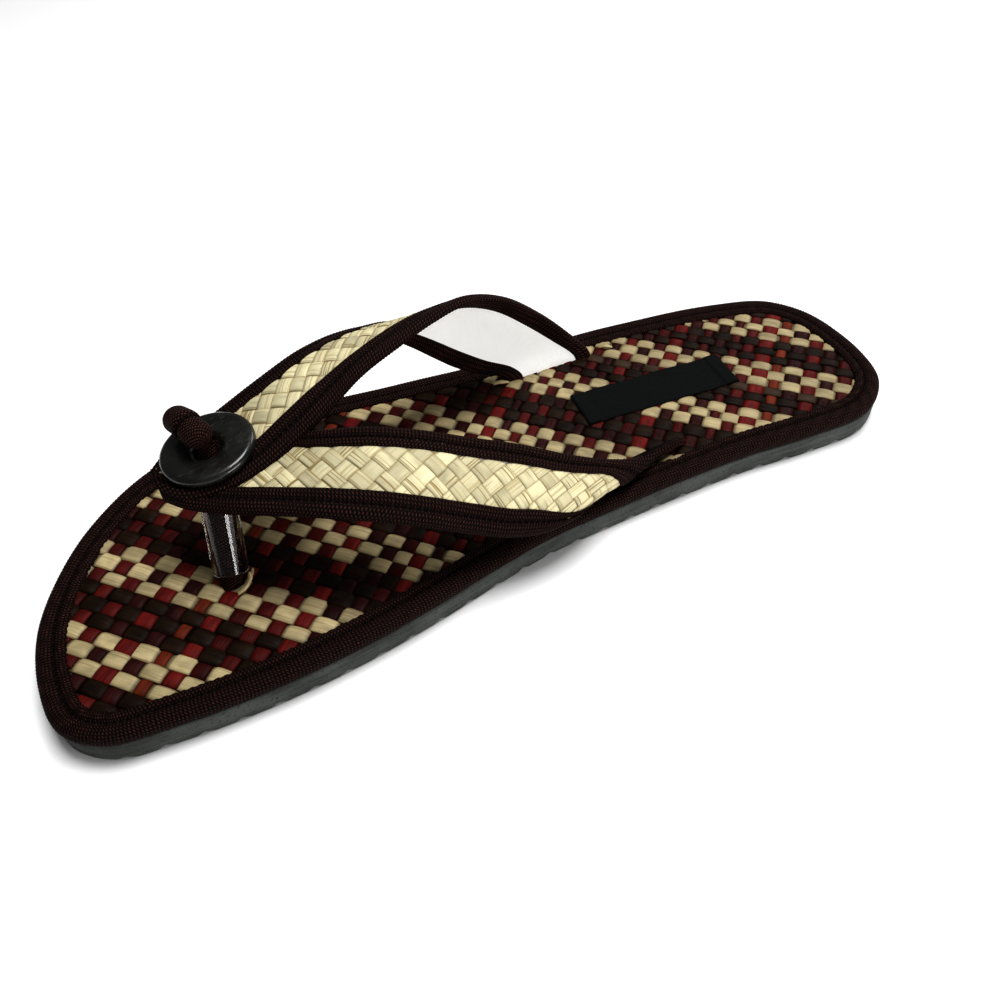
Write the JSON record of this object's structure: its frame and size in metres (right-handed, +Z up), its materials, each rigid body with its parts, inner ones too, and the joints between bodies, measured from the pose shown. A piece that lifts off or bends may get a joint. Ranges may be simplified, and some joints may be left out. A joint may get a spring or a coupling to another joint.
{
  "type": "woven flip-flop",
  "caption": "Flat right-foot flip-flop with a woven footbed, bound edge, V of woven straps held by a toe cord in a clear tube, and a round button on top.",
  "frame": {"origin": "on the floor under the middle of the sole's box", "axes": "+X towards the toes, +Y towards the inner side of the foot, +Z up"},
  "size_m": [0.26, 0.0938, 0.051],
  "materials": {
    "foam_rubber": "matt grey foam rubber",
    "woven_palm": "plain weave of straw, brown and red palm strips, satin",
    "brown_ribbon": "ribbed dark brown ribbon",
    "cream_straw": "cream straw in a twill weave, satin",
    "clear_plastic": "clear soft tube",
    "dark_shell": "polished dark disc with faint veins",
    "black_cloth": "black woven patch, bare"
  },
  "bodies": {
    "root": {"outsole": "foam_rubber", "footbed_mat": "woven_palm", "edge_binding": "brown_ribbon", "strap_upper": "cream_straw", "toe_cord": "brown_ribbon", "toe_tube": "clear_plastic", "toe_button": "dark_shell", "footbed_label": "black_cloth"}
  },
  "joints": []
}
